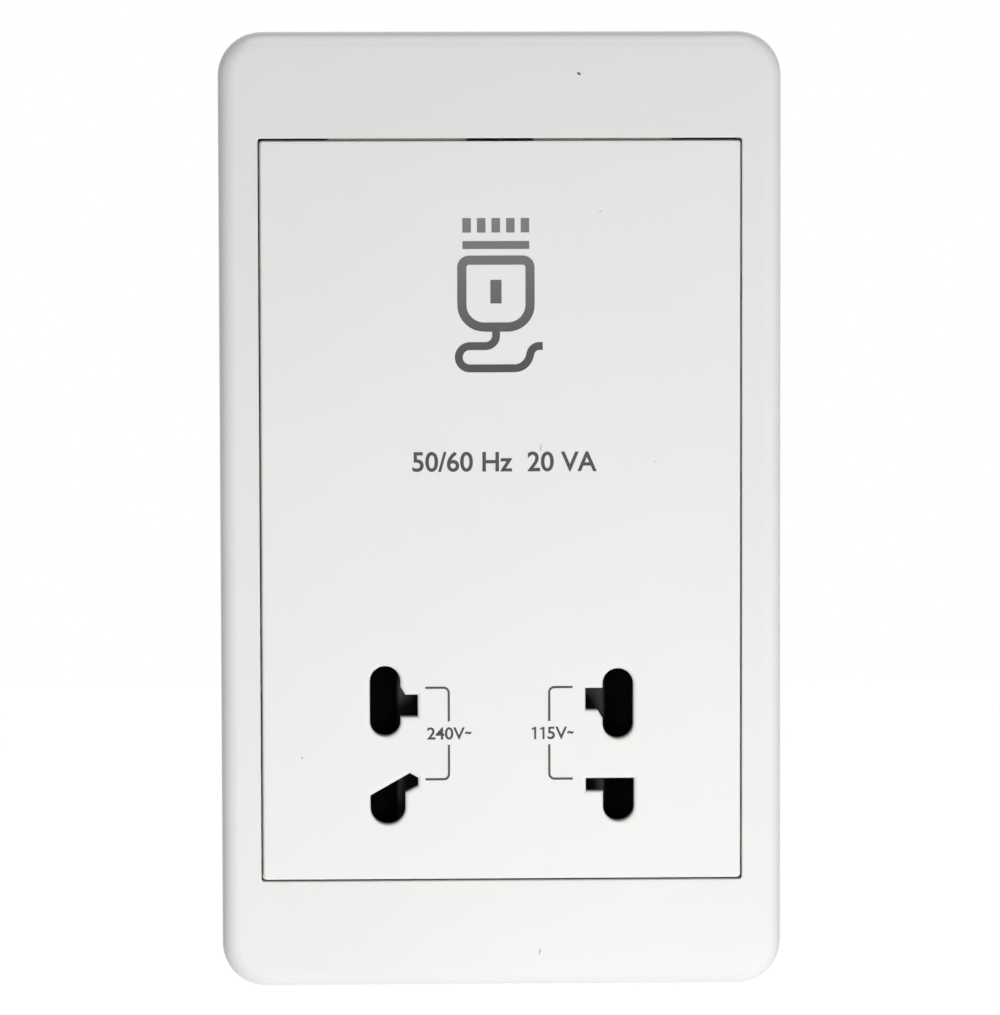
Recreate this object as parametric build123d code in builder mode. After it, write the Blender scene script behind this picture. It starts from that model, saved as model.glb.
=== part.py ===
from build123d import *
import os

# Dual voltage shaver socket outlet for a wall box.
# X runs to the right and Z up, as seen from the room. Y runs into the wall, and the wall face is Y = 0.
# Everything in front of the wall face has a negative Y. All sizes are in millimetres.

# Cover frame that clips over the mounting plate
frame_width = 86.0
frame_height = 146.4
frame_depth = 10.5
frame_corner_radius = 6.7
frame_front_radius = 2.6
frame_wall = 2.0
frame_face = 2.2
side_band = 6.1
end_band = 16.4
window_corner_radius = 0.4
window_edge_radius = 0.3
window_lip = 1.2
lip_clearance = 0.2
pry_width = 10.2

# Front panel with its apertures
panel_gap = 0.3
panel_top_gap = 0.45
panel_proud = 0.3
panel_thickness = 2.4
panel_corner_radius = 0.5
panel_edge_radius = 0.35
panel_rebate_depth = 1.6
panel_rebate_step = 0.15
skirt_wall = 1.2
panel_rib_wall = 0.9
panel_rib_height = 1.8
panel_rib_gap = 2.0
panel_rib_z = (8.0, 32.0)
boss_step_x = 2.0
boss_step_z = 1.3
boss_radius = 2.4
boss_floor = 1.0
rim_radius = 0.6

# Pin apertures. Their places are measured from the middle of the pair.
# The middle is this far from the panel's side edge.
socket_inset = 18.75

# Upper apertures: an upright slot for round pins with a side notch for flat ones
slot_240_z = 7.2
slot_115_z = 6.7
slot_width = 4.65
slot_length = 10.8
notch_reach = 2.65
notch_height = 3.4
notch_shift = 0.7
notch_chamfer_width = 0.75
notch_chamfer_height = 1.25

# Lower 240 V aperture: a round pin hole joined to a slot for an oblique flat pin
oblique_x = 0.38
oblique_z = -9.15
oblique_radius = 2.66
oblique_shoulder_z = -7.3
oblique_peak_x = 3.75
oblique_peak_z = -3.88
oblique_tip_x = 5.0
oblique_tip_high_z = -4.6
oblique_tip_low_z = -5.9
oblique_root_z = -6.9

# Lower 115 V aperture: a round pin hole joined to a slot for a level flat pin
level_x = 0.08
level_z = -9.1
level_radius = 2.36
level_top_z = -4.8
level_tip_x = -4.92
level_slot_height = 2.02

# Mounting plate
plate_thickness = 2.2
plate_clearance = 0.3
plate_opening_corner = 2.0
fixing_spacing = 120.6
fixing_hole_radius = 2.1
catch_x = 26.0
catch_width = 8.0
catch_post_wall = 1.6
catch_nib_height = 1.6
catch_rib = 0.9
catch_rib_height = 1.2
catch_grip = 0.5
catch_play = 0.1
stiffener_inset = 5.7
stiffener_length = 36.0
stiffener_height = 2.0
stiffener_wall = 1.2

# Rear housing that holds the transformer, stepped in below for the terminals
housing_inset = 4.5
housing_wall = 2.0
housing_corner_radius = 3.0
housing_step_gap = 6.0
housing_step_depth = 22.0
opening_relief = 0.3
flange_ear_x = 3.5
flange_ear_z = 3.2
flange_thickness = 2.5
flange_corner_radius = 4.0
vent_width = 2.4
vent_length = 20.0
vent_pitch = 6.0
vent_count = 5
ear_screw_radius = 1.45
ear_screw_head_radius = 2.9
ear_screw_head_height = 1.8
ear_screw_tip_gap = 0.7
screw_clearance = 0.3
pilot_clearance = 0.05
cross_slot_width = 0.8
cross_slot_depth = 0.9
cross_slot_share = 1.3
screw_crown_share = 0.7
screw_rim_share = 0.5

# Shutter that slides sideways behind the panel and opens one pair of apertures at a time
shutter_front_gap = 0.5
shutter_thickness = 4.6
shutter_height = 27.8
shutter_travel = 7.4
shutter_end_play = 0.5
port_inset = 5.45
upper_port = (0.9, 12.9)
lower_port = (-12.2, -3.6)
ramp_run = 7.7
ramp_depth = 4.2
dog_width = 3.0
dog_depth = 1.5
dog_reach = 1.4
dog_play = 0.1

# Centring spring, half in the shutter and half in the tray below it
spring_length = 18.0
spring_radius = 1.0
spring_wire = 0.4
spring_turns = 8
spring_drop = 1.3
spring_play = 0.2

# Contact carrier: a tray with two rails and four wells behind it
tray_gap = 0.2
tray_thickness = 2.0
tray_side_gap = 0.3
tray_top_margin_x = 3.0
tray_top_margin_z = 1.2
tray_corner_radius = 1.0
rail_gap = 0.4
rail_wall = 1.4
rail_boss_gap = 1.6
rail_inset = 5.2
well_clearance = 0.3
well_reach_out = 6.35
well_reach_in = 5.85
well_wall = 1.2
well_top_wall = 2.0
upper_well = (0.5, 13.3)
lower_well = (-12.4, -3.1)
body_back = 9.5
body_clearance = 0.9
body_floor_gap = 0.1
pocket_rim = 2.0
post_rise = (9.3, -9.7)
post_radius = 2.6
carrier_screw_radius = 1.0
carrier_screw_head_radius = 2.0
carrier_screw_head_height = 1.3
carrier_screw_length = 8.0
cover_gap = 0.1
cover_thickness = 1.7

# Contacts, folded from strip
strip = 0.5
leaf_front = 0.4
leaf_press_y = 3.4
leaf_press_reach = 2.45
leaf_back_reach = 4.15
leaf_flare = 1.2
leaf_turn = 2.0
leaf_bend = 0.8
upper_leaf_width = 10.0
lower_leaf_width = 6.4
tail_width = 4.0
tail_length = 5.0
tail_reach = 0.15
tail_clearance = 0.15
bus_width = 3.0

# Selector switch above the shutter
switch_height = 10.2
switch_rail_gap = 0.8
switch_depth = 5.1
switch_wall = 1.0
slider_width = 8.0
slider_play = 0.3
slider_end_play = 0.6
slider_thickness = 2.0
slider_front_gap = 0.3
arm_slot_margin = 0.5
bridge_strip = 0.3
bridge_width = 3.0
bridge_foot_x = 3.0
bridge_toe = 0.7
bridge_toe_rise = 0.5
bridge_bend = 0.3
bridge_air = 0.03
pad_thickness = 0.4
pad_width = 4.4
common_pad_length = 11.6
side_pad_length = 2.8
pad_tail_width = 2.0
pad_tail_thickness = 0.5
pad_tail_length = 6.0

# Isolating transformer on an E and I core
core_front = 8.0
core_stack = 19.0
core_side_gap = 3.5
core_top_gap = 1.0
core_hole_radius = 1.75
core_post_radius = 3.2
core_screw_radius = 1.5
core_screw_head_radius = 2.75
core_screw_head_height = 2.2
core_screw_bite = 6.0
bobbin_clearance = 0.2
bobbin_wall = 1.0
bobbin_corner_radius = 2.0
coil_back_gap = 0.2
winding_clearance = 1.2
tape_thickness = 0.25
coil_pin = 0.8
coil_pin_length = 4.0
coil_pin_pitch = 7.5
coil_pin_count = 4
cutout_width = 9.0
cutout_height = 5.0
cutout_depth = 2.6
cutout_corner_radius = 1.0
cutout_edge_radius = 0.6

# Terminal block on the outside of the housing's step
terminal_height = 22.0
terminal_depth = 13.0
terminal_rise = 2.0
terminal_pitch = 12.0
terminal_corner_radius = 1.0
brass_width = 7.4
brass_depth = 9.6
brass_height = 13.8
brass_clearance = 0.1
cell_floor = 1.6
cell_bottom_wall = 4.0
wire_bore_radius = 1.7
wire_bore_depth = 12.0
wire_bore_depth_y = 6.0
wire_entry_width = 4.6
clamp_rise = 10.0
clamp_screw_radius = 1.6
clamp_screw_length = 5.0
clamp_tip_gap = 0.1
driver_radius = 2.3
terminal_tail_width = 3.0
terminal_tail_thickness = 0.8
terminal_tail_rise = 14.4
terminal_tail_length = 8.0
block_screw_step = 6.9
block_screw_margin = 3.1
block_screw_rise = 17.0
block_screw_radius = 1.1
block_screw_head_radius = 2.1
block_screw_head_height = 1.5
block_screw_bite = 1.0

# Levels along Y that several pieces share
frame_front = -frame_depth
panel_front = frame_front - panel_proud
panel_back = panel_front + panel_thickness
seat = -plate_thickness
shutter_front = panel_back + shutter_front_gap
shutter_back = shutter_front + shutter_thickness
tray_front = shutter_back + tray_gap
tray_back = tray_front + tray_thickness
switch_front = tray_front - switch_depth
switch_floor = tray_front - switch_wall
slider_front = switch_front + slider_front_gap
slider_back = slider_front + slider_thickness
pad_front = switch_floor - pad_thickness
cover_front = body_back + cover_gap
cover_back = cover_front + cover_thickness
core_back = core_front + core_stack
coil_y = (core_front + core_back) / 2
step_back = housing_step_depth
block_back = step_back + terminal_depth
brass_front = step_back + cell_floor
brass_back = brass_front + brass_depth
wire_bore_y = step_back + wire_bore_depth_y

# Window, panel and shutter, from the frame inwards
window_width = frame_width - 2 * side_band
window_rise = panel_top_gap - panel_gap
window_height = frame_height - 2 * end_band + window_rise
window_z = window_rise / 2
panel_width = window_width - 2 * panel_gap
panel_height = window_height - panel_gap - panel_top_gap
slot_x = panel_width / 2 - socket_inset
shutter_length = panel_width - 2 * (skirt_wall + shutter_end_play + shutter_travel)
port_outer_x = slot_x - port_inset
port_inner_x = port_outer_x - shutter_travel
ramp_outer_x = port_outer_x + ramp_run

# Carrier body, plate opening and housing, each round the one before
well_outer_x = slot_x + well_reach_out
well_inner_x = slot_x - well_reach_in
body_width = 2 * (well_outer_x + well_wall)
plate_opening_width = body_width + 2 * body_clearance
inner_width = plate_opening_width - 2 * opening_relief
housing_width = inner_width + 2 * housing_wall
housing_height = panel_height - 2 * housing_inset
inner_height = housing_height - 2 * housing_wall
plate_opening_height = inner_height + 2 * opening_relief
boss_x = housing_width / 2 + boss_step_x
boss_z = housing_height / 2 + boss_step_z
flange_width = 2 * (boss_x + flange_ear_x)
flange_height = 2 * (boss_z + flange_ear_z)
ear_screw_length = flange_thickness - panel_back - boss_floor - ear_screw_tip_gap
tray_width = panel_width - 2 * (skirt_wall + tray_side_gap)
pocket_x = well_inner_x - well_wall

# Heights of the shutter, its rails and the switch, from the housing's lower wall up
socket_z = body_floor_gap + well_wall - lower_well[0] - inner_height / 2
body_top_z = socket_z + upper_well[1] + well_top_wall
body_bottom_z = socket_z + lower_well[0] - well_wall
shutter_top_z = socket_z + shutter_height / 2
shutter_bottom_z = socket_z - shutter_height / 2
spring_z = socket_z - spring_drop
rail_top_low = shutter_top_z + rail_gap
rail_top_high = rail_top_low + rail_wall
rail_bottom_high = shutter_bottom_z - rail_gap
rail_bottom_low = rail_bottom_high - rail_wall
switch_z = rail_top_high + switch_rail_gap + switch_height / 2
switch_width = 2 * (shutter_travel + slider_width / 2 + slider_end_play + switch_wall)
side_pad_x = bridge_foot_x + shutter_travel
arm_opening = 2 * shutter_travel + dog_width + 2 * arm_slot_margin
tray_top_z = switch_z + switch_height / 2 + tray_top_margin_z
tray_top_width = switch_width + 2 * tray_top_margin_x
panel_rib_x = tray_top_width / 2 + panel_rib_gap
post_places = [(0, socket_z + rise) for rise in post_rise]

# Contacts
leaf_press_x = slot_x + leaf_press_reach
leaf_back_x = slot_x + leaf_back_reach
leaf_rest_x = well_inner_x + strip
tail_x = slot_x + tail_reach

# Transformer. The core is six legs high and five wide, as E and I stampings are
core_leg = (inner_width - 2 * core_side_gap) / 5
core_width = 5 * core_leg
core_length = 6 * core_leg
core_z = inner_height / 2 - core_top_gap - core_length / 2
core_hole_x = 2 * core_leg
core_hole_z = core_length / 2 - core_leg / 2
core_screw_length = core_stack + core_screw_bite
bobbin_length = 3 * core_leg - 2 * bobbin_clearance
tube_height = 2 * core_leg + 2 * bobbin_clearance
tube_depth = core_stack + 2 * bobbin_clearance
tube_outer_height = tube_height + 2 * bobbin_wall
tube_outer_depth = tube_depth + 2 * bobbin_wall
cheek_height = 4 * core_leg - 2 * bobbin_clearance
cheek_depth = tube_outer_depth + (cheek_height - tube_outer_height)
housing_depth = coil_y + cheek_depth / 2 + coil_back_gap + housing_wall

# Terminal block, from the housing's lower end up
terminal_bottom_z = terminal_rise - housing_height / 2
terminal_top_z = terminal_bottom_z + terminal_height
terminal_tail_z = terminal_bottom_z + terminal_tail_rise
clamp_z = terminal_bottom_z + clamp_rise
housing_step_z = terminal_top_z + housing_step_gap
block_screw_x = terminal_pitch + block_screw_step
block_screw_z = terminal_bottom_z + block_screw_rise
block_screw_places = [(-block_screw_x, block_screw_z), (block_screw_x, block_screw_z)]
block_screw_length = terminal_depth - block_screw_head_height + block_screw_bite
tail_slot_width = terminal_tail_width + 2 * tail_clearance
tail_slot_height = terminal_tail_thickness + 2 * tail_clearance
terminal_width = 2 * (block_screw_x + block_screw_margin)


def depth(y):
    """A plane that faces the room, y behind the wall face."""
    return Plane.XZ.offset(-y)


def plate(front, back, width, height, x=0, z=0, corner=0):
    """The outline of a plate, drawn at its back, and its thickness towards the room."""
    with BuildSketch(depth(back)) as outline:
        with Locations((x, z)):
            if corner > 0:
                RectangleRounded(width, height, corner)
            else:
                Rectangle(width, height)
    return outline.sketch, back - front


def discs(front, back, radius, places):
    """Round outlines at the given places, drawn at the back, and their height towards the room."""
    with BuildSketch(depth(back)) as outline:
        with Locations(*places):
            Circle(radius)
    return outline.sketch, back - front


def upper_aperture(x, rise, turned):
    """An upright pin slot with a side notch, turned half round for the right-hand pair."""
    half = slot_width / 2
    notch_high = notch_height / 2 - notch_shift
    notch_low = notch_high - notch_height
    with BuildSketch() as outline:
        with Locations(Location((x, socket_z + rise, 0), (0, 0, 180 if turned else 0))):
            SlotOverall(slot_length, slot_width, rotation=90)
            Polygon(
                (0, notch_low),
                (half + notch_reach, notch_low),
                (half + notch_reach, notch_high),
                (half + notch_chamfer_width, notch_high),
                (half, notch_high + notch_chamfer_height),
                (0, notch_high + notch_chamfer_height),
                align=None,
            )
    return outline.sketch


def lower_aperture(pair_x, x, z, radius, corners):
    """A round pin hole with the given corners above it, all measured from the middle of its pair."""
    with BuildSketch() as outline:
        with BuildLine():
            sides = Polyline((x + radius, z), *corners, (x - radius, z))
            ThreePointArc(sides @ 1, (x, z - radius), sides @ 0)
        make_face()
    return outline.sketch.moved(Location((pair_x, socket_z, 0)))


oblique_corners = (
    (oblique_x + oblique_radius, oblique_root_z),
    (oblique_tip_x, oblique_tip_low_z),
    (oblique_tip_x, oblique_tip_high_z),
    (oblique_peak_x, oblique_peak_z),
    (oblique_x - oblique_radius, oblique_shoulder_z),
)
level_corners = (
    (level_x + level_radius, level_top_z),
    (level_tip_x, level_top_z),
    (level_tip_x, level_top_z - level_slot_height),
    (level_x - level_radius, level_top_z - level_slot_height),
)
apertures = (
    upper_aperture(-slot_x, slot_240_z, False),
    upper_aperture(slot_x, slot_115_z, True),
    lower_aperture(-slot_x, oblique_x, oblique_z, oblique_radius, oblique_corners),
    lower_aperture(slot_x, level_x, level_z, level_radius, level_corners),
)
boss_places = [(x, z) for x in (-boss_x, boss_x) for z in (-boss_z, boss_z)]

# Cover frame: a shallow shell with a window, open at the back
with BuildPart() as cover_frame:
    with BuildSketch(depth(0)):
        RectangleRounded(frame_width, frame_height, frame_corner_radius)
    extrude(amount=frame_depth)
    fillet(cover_frame.faces().sort_by(Axis.Y)[0].edges(), frame_front_radius)
    with BuildSketch(depth(0)):
        with Locations((0, window_z)):
            RectangleRounded(window_width, window_height, window_corner_radius)
    extrude(amount=frame_depth, mode=Mode.SUBTRACT)
    fillet(cover_frame.faces().sort_by(Axis.Y)[0].inner_wires()[0].edges(), window_edge_radius)
    with BuildSketch(depth(0)):
        RectangleRounded(
            frame_width - 2 * frame_wall, frame_height - 2 * frame_wall, frame_corner_radius - frame_wall
        )
        with Locations((0, window_z)):
            Rectangle(window_width + 2 * window_lip, window_height + 2 * window_lip, mode=Mode.SUBTRACT)
    extrude(amount=frame_depth - frame_face, mode=Mode.SUBTRACT)
    # The lip round the window stops just in front of the mounting plate
    with BuildSketch(depth(0)):
        with Locations((0, window_z)):
            Rectangle(window_width + 2 * window_lip, window_height + 2 * window_lip)
    extrude(amount=plate_thickness + lip_clearance, mode=Mode.SUBTRACT)
    # Catch ribs inside the top and bottom walls
    for side in (-1, 1):
        rib_z = side * (frame_height / 2 - frame_wall - catch_rib / 2)
        for x in (-catch_x, catch_x):
            rib, rib_height = plate(
                seat - catch_play - catch_rib_height, seat - catch_play, catch_width, catch_rib, x, rib_z
            )
            extrude(rib, amount=rib_height)
cover_frame.part.label = "cover_frame"

# Front panel: a plate with a rebated edge, a skirt behind it, four screw bosses and stiffening ribs
with BuildPart() as front_panel:
    with BuildSketch(depth(panel_back)):
        RectangleRounded(panel_width, panel_height, panel_corner_radius)
        add(apertures, mode=Mode.SUBTRACT)
    extrude(amount=panel_thickness)
    rims = front_panel.faces().sort_by(Axis.Y)[0].inner_wires()
    fillet([edge for rim in rims for edge in rim.edges()], rim_radius)
    fillet(front_panel.faces().sort_by(Axis.Y)[0].outer_wire().edges(), panel_edge_radius)
    with BuildSketch(depth(seat)):
        RectangleRounded(
            panel_width + 2 * panel_rebate_step, panel_height + 2 * panel_rebate_step, panel_corner_radius
        )
        Rectangle(panel_width - 2 * skirt_wall, panel_height - 2 * skirt_wall, mode=Mode.SUBTRACT)
        # The rebate is cut away for a driver's tip at the middle of the top edge
        with Locations((0, panel_height / 2 + panel_rebate_step)):
            Rectangle(pry_width, 2 * panel_rebate_step, mode=Mode.SUBTRACT)
    extrude(amount=seat - panel_front - panel_rebate_depth)
    for x in (-panel_rib_x, panel_rib_x):
        rib, rib_height = plate(
            panel_back,
            panel_back + panel_rib_height,
            panel_rib_wall,
            panel_height / 2 - switch_z - switch_height,
            x,
            (panel_height / 2 + switch_z + switch_height) / 2,
        )
        extrude(rib, amount=rib_height)
    for z in panel_rib_z:
        rib, rib_height = plate(
            panel_back, panel_back + panel_rib_height, panel_width - 2 * skirt_wall, panel_rib_wall, 0, z
        )
        extrude(rib, amount=rib_height)
    bosses, boss_height = discs(panel_back, seat, boss_radius, boss_places)
    extrude(bosses, amount=boss_height)
    pilots, pilot_depth = discs(
        panel_back + boss_floor, seat, ear_screw_radius + pilot_clearance, boss_places
    )
    extrude(pilots, amount=pilot_depth, mode=Mode.SUBTRACT)
front_panel.part.label = "front_panel"

# Mounting plate: fixed to the wall box, with catch posts for the cover frame
plate_width = frame_width - 2 * (frame_wall + plate_clearance)
plate_height = frame_height - 2 * (frame_wall + plate_clearance)
post_centre_z = plate_height / 2 - catch_play - catch_grip - catch_post_wall / 2
with BuildPart() as mounting_plate:
    with BuildSketch(depth(0)):
        RectangleRounded(plate_width, plate_height, frame_corner_radius - frame_wall - plate_clearance)
        RectangleRounded(
            plate_opening_width, plate_opening_height, plate_opening_corner, mode=Mode.SUBTRACT
        )
        with GridLocations(0, fixing_spacing, 1, 2):
            Circle(fixing_hole_radius, mode=Mode.SUBTRACT)
        with GridLocations(2 * boss_x, 2 * boss_z, 2, 2):
            Circle(ear_screw_radius + screw_clearance, mode=Mode.SUBTRACT)
    extrude(amount=plate_thickness)
    for side in (-1, 1):
        stiffener_z = side * (plate_height / 2 - stiffener_inset)
        stiffener, stiffener_rise = plate(
            seat - stiffener_height, seat, stiffener_length, stiffener_wall, 0, stiffener_z
        )
        extrude(stiffener, amount=stiffener_rise)
        nib_front = seat - catch_play - catch_rib_height - catch_play - catch_nib_height
        nib_reach = frame_height / 2 - frame_wall - catch_rib + catch_grip
        post_outer = post_centre_z + catch_post_wall / 2
        for x in (-catch_x, catch_x):
            post, post_height = plate(
                nib_front, seat, catch_width, catch_post_wall, x, side * post_centre_z
            )
            extrude(post, amount=post_height)
            # The nib has a lead-in slope at its front
            with BuildSketch(Plane.YZ.offset(x - catch_width / 2)) as nib:
                with BuildLine():
                    Polyline(
                        (nib_front, side * post_outer),
                        (nib_front + catch_nib_height / 2, side * nib_reach),
                        (nib_front + catch_nib_height, side * nib_reach),
                        (nib_front + catch_nib_height, side * post_outer),
                        close=True,
                    )
                make_face()
            extrude(nib.sketch, amount=catch_width)
mounting_plate.part.label = "mounting_plate"

# Rear housing: a stepped box with a flange, screw posts for the core and cooling slots
upper_height = housing_height / 2 - housing_step_z
upper_z = (housing_height / 2 + housing_step_z) / 2
core_places = [(x, core_z + z) for x in (-core_hole_x, core_hole_x) for z in (-core_hole_z, core_hole_z)]
with BuildPart() as rear_housing:
    with BuildSketch(depth(housing_depth)):
        with Locations((0, upper_z)):
            RectangleRounded(housing_width, upper_height, housing_corner_radius)
    extrude(amount=housing_depth)
    fillet(rear_housing.faces().sort_by(Axis.Y)[-1].edges(), housing_wall / 2)
    with BuildSketch(depth(flange_thickness)):
        RectangleRounded(flange_width, flange_height, flange_corner_radius)
        with GridLocations(2 * boss_x, 2 * boss_z, 2, 2):
            Circle(ear_screw_radius + screw_clearance, mode=Mode.SUBTRACT)
    extrude(amount=flange_thickness)
    with BuildSketch(depth(step_back)):
        RectangleRounded(housing_width, housing_height, housing_corner_radius)
    extrude(amount=step_back)
    with BuildSketch(depth(step_back - housing_wall)):
        RectangleRounded(inner_width, inner_height, housing_corner_radius - housing_wall)
    extrude(amount=step_back - housing_wall, mode=Mode.SUBTRACT)
    with BuildSketch(depth(housing_depth - housing_wall)):
        with Locations((0, upper_z)):
            RectangleRounded(
                inner_width, upper_height - 2 * housing_wall, housing_corner_radius - housing_wall
            )
    extrude(amount=housing_depth - housing_wall, mode=Mode.SUBTRACT)
    posts, post_height = discs(core_back, housing_depth - housing_wall, core_post_radius, core_places)
    extrude(posts, amount=post_height)
    pilots, pilot_depth = discs(
        core_back, housing_depth - housing_wall, core_screw_radius + pilot_clearance, core_places
    )
    extrude(pilots, amount=pilot_depth, mode=Mode.SUBTRACT)
    # Cooling slots through both side walls, level with the core
    with BuildSketch(Plane.YZ.offset(-housing_width / 2)) as vents:
        with Locations((coil_y, core_z)):
            with GridLocations(0, vent_pitch, 1, vent_count):
                SlotOverall(vent_length, vent_width)
    extrude(vents.sketch, amount=housing_width, mode=Mode.SUBTRACT)
    # Slots and screw pilots for the terminal block
    with BuildSketch(depth(step_back)):
        with Locations((0, terminal_tail_z)):
            with GridLocations(terminal_pitch, 0, 3, 1):
                Rectangle(tail_slot_width, tail_slot_height)
        with Locations(*block_screw_places):
            Circle(block_screw_radius + pilot_clearance)
    extrude(amount=housing_wall, mode=Mode.SUBTRACT)
rear_housing.part.label = "rear_housing"


def screws(head_front, radius, length, head_radius, head_height, places, towards_room):
    """Pan head screws along Y with a cross slot, their heads seated at head_front."""
    way = -1 if towards_room else 1
    with BuildPart() as group:
        with BuildSketch(Plane.XY):
            with BuildLine():
                Polyline(
                    (0, head_front - way * head_height),
                    (head_radius * screw_crown_share, head_front - way * head_height),
                    (head_radius, head_front - way * head_height * screw_rim_share),
                    (head_radius, head_front),
                    (radius, head_front),
                    (radius, head_front + way * (length - radius)),
                    (0, head_front + way * length),
                    close=True,
                )
            make_face()
        revolve(axis=Axis.Y)
        slot_plane = depth(head_front - way * (head_height - cross_slot_depth / 2))
        with BuildSketch(slot_plane) as cross:
            Rectangle(cross_slot_share * head_radius, cross_slot_width)
            Rectangle(cross_slot_width, cross_slot_share * head_radius)
        extrude(cross.sketch, amount=cross_slot_depth, both=True, mode=Mode.SUBTRACT)
    with BuildPart() as every_screw:
        for x, z in places:
            add(group.part.moved(Location((x, 0, z))))
    return every_screw


# Screws that draw the housing and the panel together through the mounting plate
housing_screws = screws(
    flange_thickness,
    ear_screw_radius,
    ear_screw_length,
    ear_screw_head_radius,
    ear_screw_head_height,
    boss_places,
    True,
)
housing_screws.part.label = "housing_screws"

# Contact carrier: the tray behind the shutter, its two rails and the four wells
wells = []
for side in (-1, 1):
    for low, high in (upper_well, lower_well):
        wells.append((side * (well_outer_x + well_inner_x) / 2, socket_z + (low + high) / 2, high - low))
body_height = body_top_z - body_bottom_z
body_z = (body_top_z + body_bottom_z) / 2
with BuildPart() as contact_carrier:
    tray_height = rail_top_high - rail_bottom_low
    tray_z = (rail_top_high + rail_bottom_low) / 2
    with BuildSketch(depth(seat)):
        with Locations((0, tray_z)):
            RectangleRounded(tray_width, tray_height, tray_corner_radius)
        # Room for the panel's lower bosses
        with Locations((-boss_x, -boss_z), (boss_x, -boss_z)):
            Circle(boss_radius + well_clearance, mode=Mode.SUBTRACT)
    extrude(amount=seat - tray_front)
    with BuildSketch(depth(tray_back)):
        with Locations((0, (tray_top_z + rail_top_low) / 2)):
            Rectangle(tray_top_width, tray_top_z - rail_top_low)
    extrude(amount=tray_thickness)
    with BuildSketch(depth(body_back)):
        with Locations((0, body_z)):
            RectangleRounded(body_width, body_height, tray_corner_radius)
    extrude(amount=body_back - tray_front)
    # Rails above and below the shutter, the upper one open in the middle for the switch arm
    with BuildSketch(depth(tray_front)):
        with Locations((0, (rail_top_low + rail_top_high) / 2)):
            Rectangle(tray_width - 2 * rail_inset, rail_wall)
            Rectangle(arm_opening, rail_wall, mode=Mode.SUBTRACT)
        with Locations((0, (rail_bottom_low + rail_bottom_high) / 2)):
            Rectangle(2 * (boss_x - boss_radius - rail_boss_gap), rail_wall)
    extrude(amount=tray_front - panel_back)
    # Wells, open at the back
    with BuildSketch(depth(body_back)):
        for x, z, height in wells:
            with Locations((x, z)):
                Rectangle(well_outer_x - well_inner_x, height)
        with Locations((0, body_z)):
            Rectangle(2 * pocket_x, body_height - 2 * pocket_rim)
    extrude(amount=body_back - tray_back, mode=Mode.SUBTRACT)
    posts, post_height = discs(tray_back, body_back, post_radius, post_places)
    extrude(posts, amount=post_height)
    pilots, pilot_depth = discs(
        tray_back, body_back, carrier_screw_radius + pilot_clearance, post_places
    )
    extrude(pilots, amount=pilot_depth, mode=Mode.SUBTRACT)
    # The common contact's strip crosses between the lower wells
    bus_z = socket_z + (sum(lower_well) + lower_leaf_width - bus_width) / 2
    bus_way, bus_depth = plate(
        body_back - strip - tail_clearance,
        body_back,
        2 * well_inner_x + 2 * strip,
        bus_width + 2 * tail_clearance,
        0,
        bus_z,
    )
    extrude(bus_way, amount=bus_depth, mode=Mode.SUBTRACT)
    # Ways in for the pins, a little wider than the panel's apertures
    with BuildSketch(depth(tray_back)):
        add(apertures)
        offset(amount=well_clearance)
    extrude(amount=tray_thickness, mode=Mode.SUBTRACT)
    # Trough for the spring, and slots for the switch's tails
    with BuildSketch(Plane.YZ.offset(-spring_length / 2 - spring_play)) as trough:
        with Locations((tray_front, spring_z)):
            Circle(spring_radius + spring_wire / 2 + spring_play)
    extrude(trough.sketch, amount=spring_length + 2 * spring_play, mode=Mode.SUBTRACT)
    with BuildSketch(depth(tray_back)) as tail_slots:
        with Locations((-side_pad_x, switch_z), (0, switch_z), (side_pad_x, switch_z)):
            Rectangle(pad_tail_width + 2 * tail_clearance, pad_tail_thickness + 2 * tail_clearance)
    extrude(tail_slots.sketch, amount=tray_thickness, mode=Mode.SUBTRACT)
contact_carrier.part.label = "contact_carrier"

# Cover that closes the wells and holds the contacts
with BuildPart() as carrier_cover:
    with BuildSketch(depth(cover_back)):
        with Locations((0, body_z)):
            RectangleRounded(body_width, body_height, tray_corner_radius)
        with Locations(*post_places):
            Circle(carrier_screw_radius + screw_clearance, mode=Mode.SUBTRACT)
        for x, z, height in wells:
            with Locations((x / abs(x) * tail_x, z)):
                Rectangle(strip + 2 * tail_clearance, tail_width + 2 * tail_clearance, mode=Mode.SUBTRACT)
    extrude(amount=cover_thickness)
carrier_cover.part.label = "carrier_cover"

carrier_screws = screws(
    cover_back,
    carrier_screw_radius,
    carrier_screw_length,
    carrier_screw_head_radius,
    carrier_screw_head_height,
    post_places,
    True,
)
carrier_screws.part.label = "carrier_screws"


def contact_profile(side):
    """A folded strip seen from above: sprung leaf, base on the cover and straight inner leaf."""
    base_y = cover_front - strip / 2
    with BuildSketch() as profile:
        with BuildLine():
            FilletPolyline(
                (side * (leaf_press_x + leaf_flare), leaf_front),
                (side * leaf_press_x, leaf_press_y),
                (side * leaf_back_x, base_y - leaf_turn),
                (side * leaf_back_x, base_y),
                (side * leaf_rest_x, base_y),
                (side * leaf_rest_x, leaf_front),
                radius=leaf_bend,
            )
        trace(line_width=strip)
    return profile.sketch


def contact(side, well, width):
    """One contact with a solder tail through the cover, in the given well."""
    middle = socket_z + sum(well) / 2
    with BuildPart() as piece:
        extrude(contact_profile(side).moved(Location((0, 0, middle))), amount=width / 2, both=True)
        tail, tail_depth = plate(
            cover_front - strip / 2,
            cover_back + tail_length,
            strip,
            tail_width,
            side * tail_x,
            middle,
        )
        extrude(tail, amount=tail_depth)
    return piece


contact_240v = contact(-1, upper_well, upper_leaf_width)
contact_240v.part.label = "contact_240v"
contact_115v = contact(1, upper_well, upper_leaf_width)
contact_115v.part.label = "contact_115v"

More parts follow.
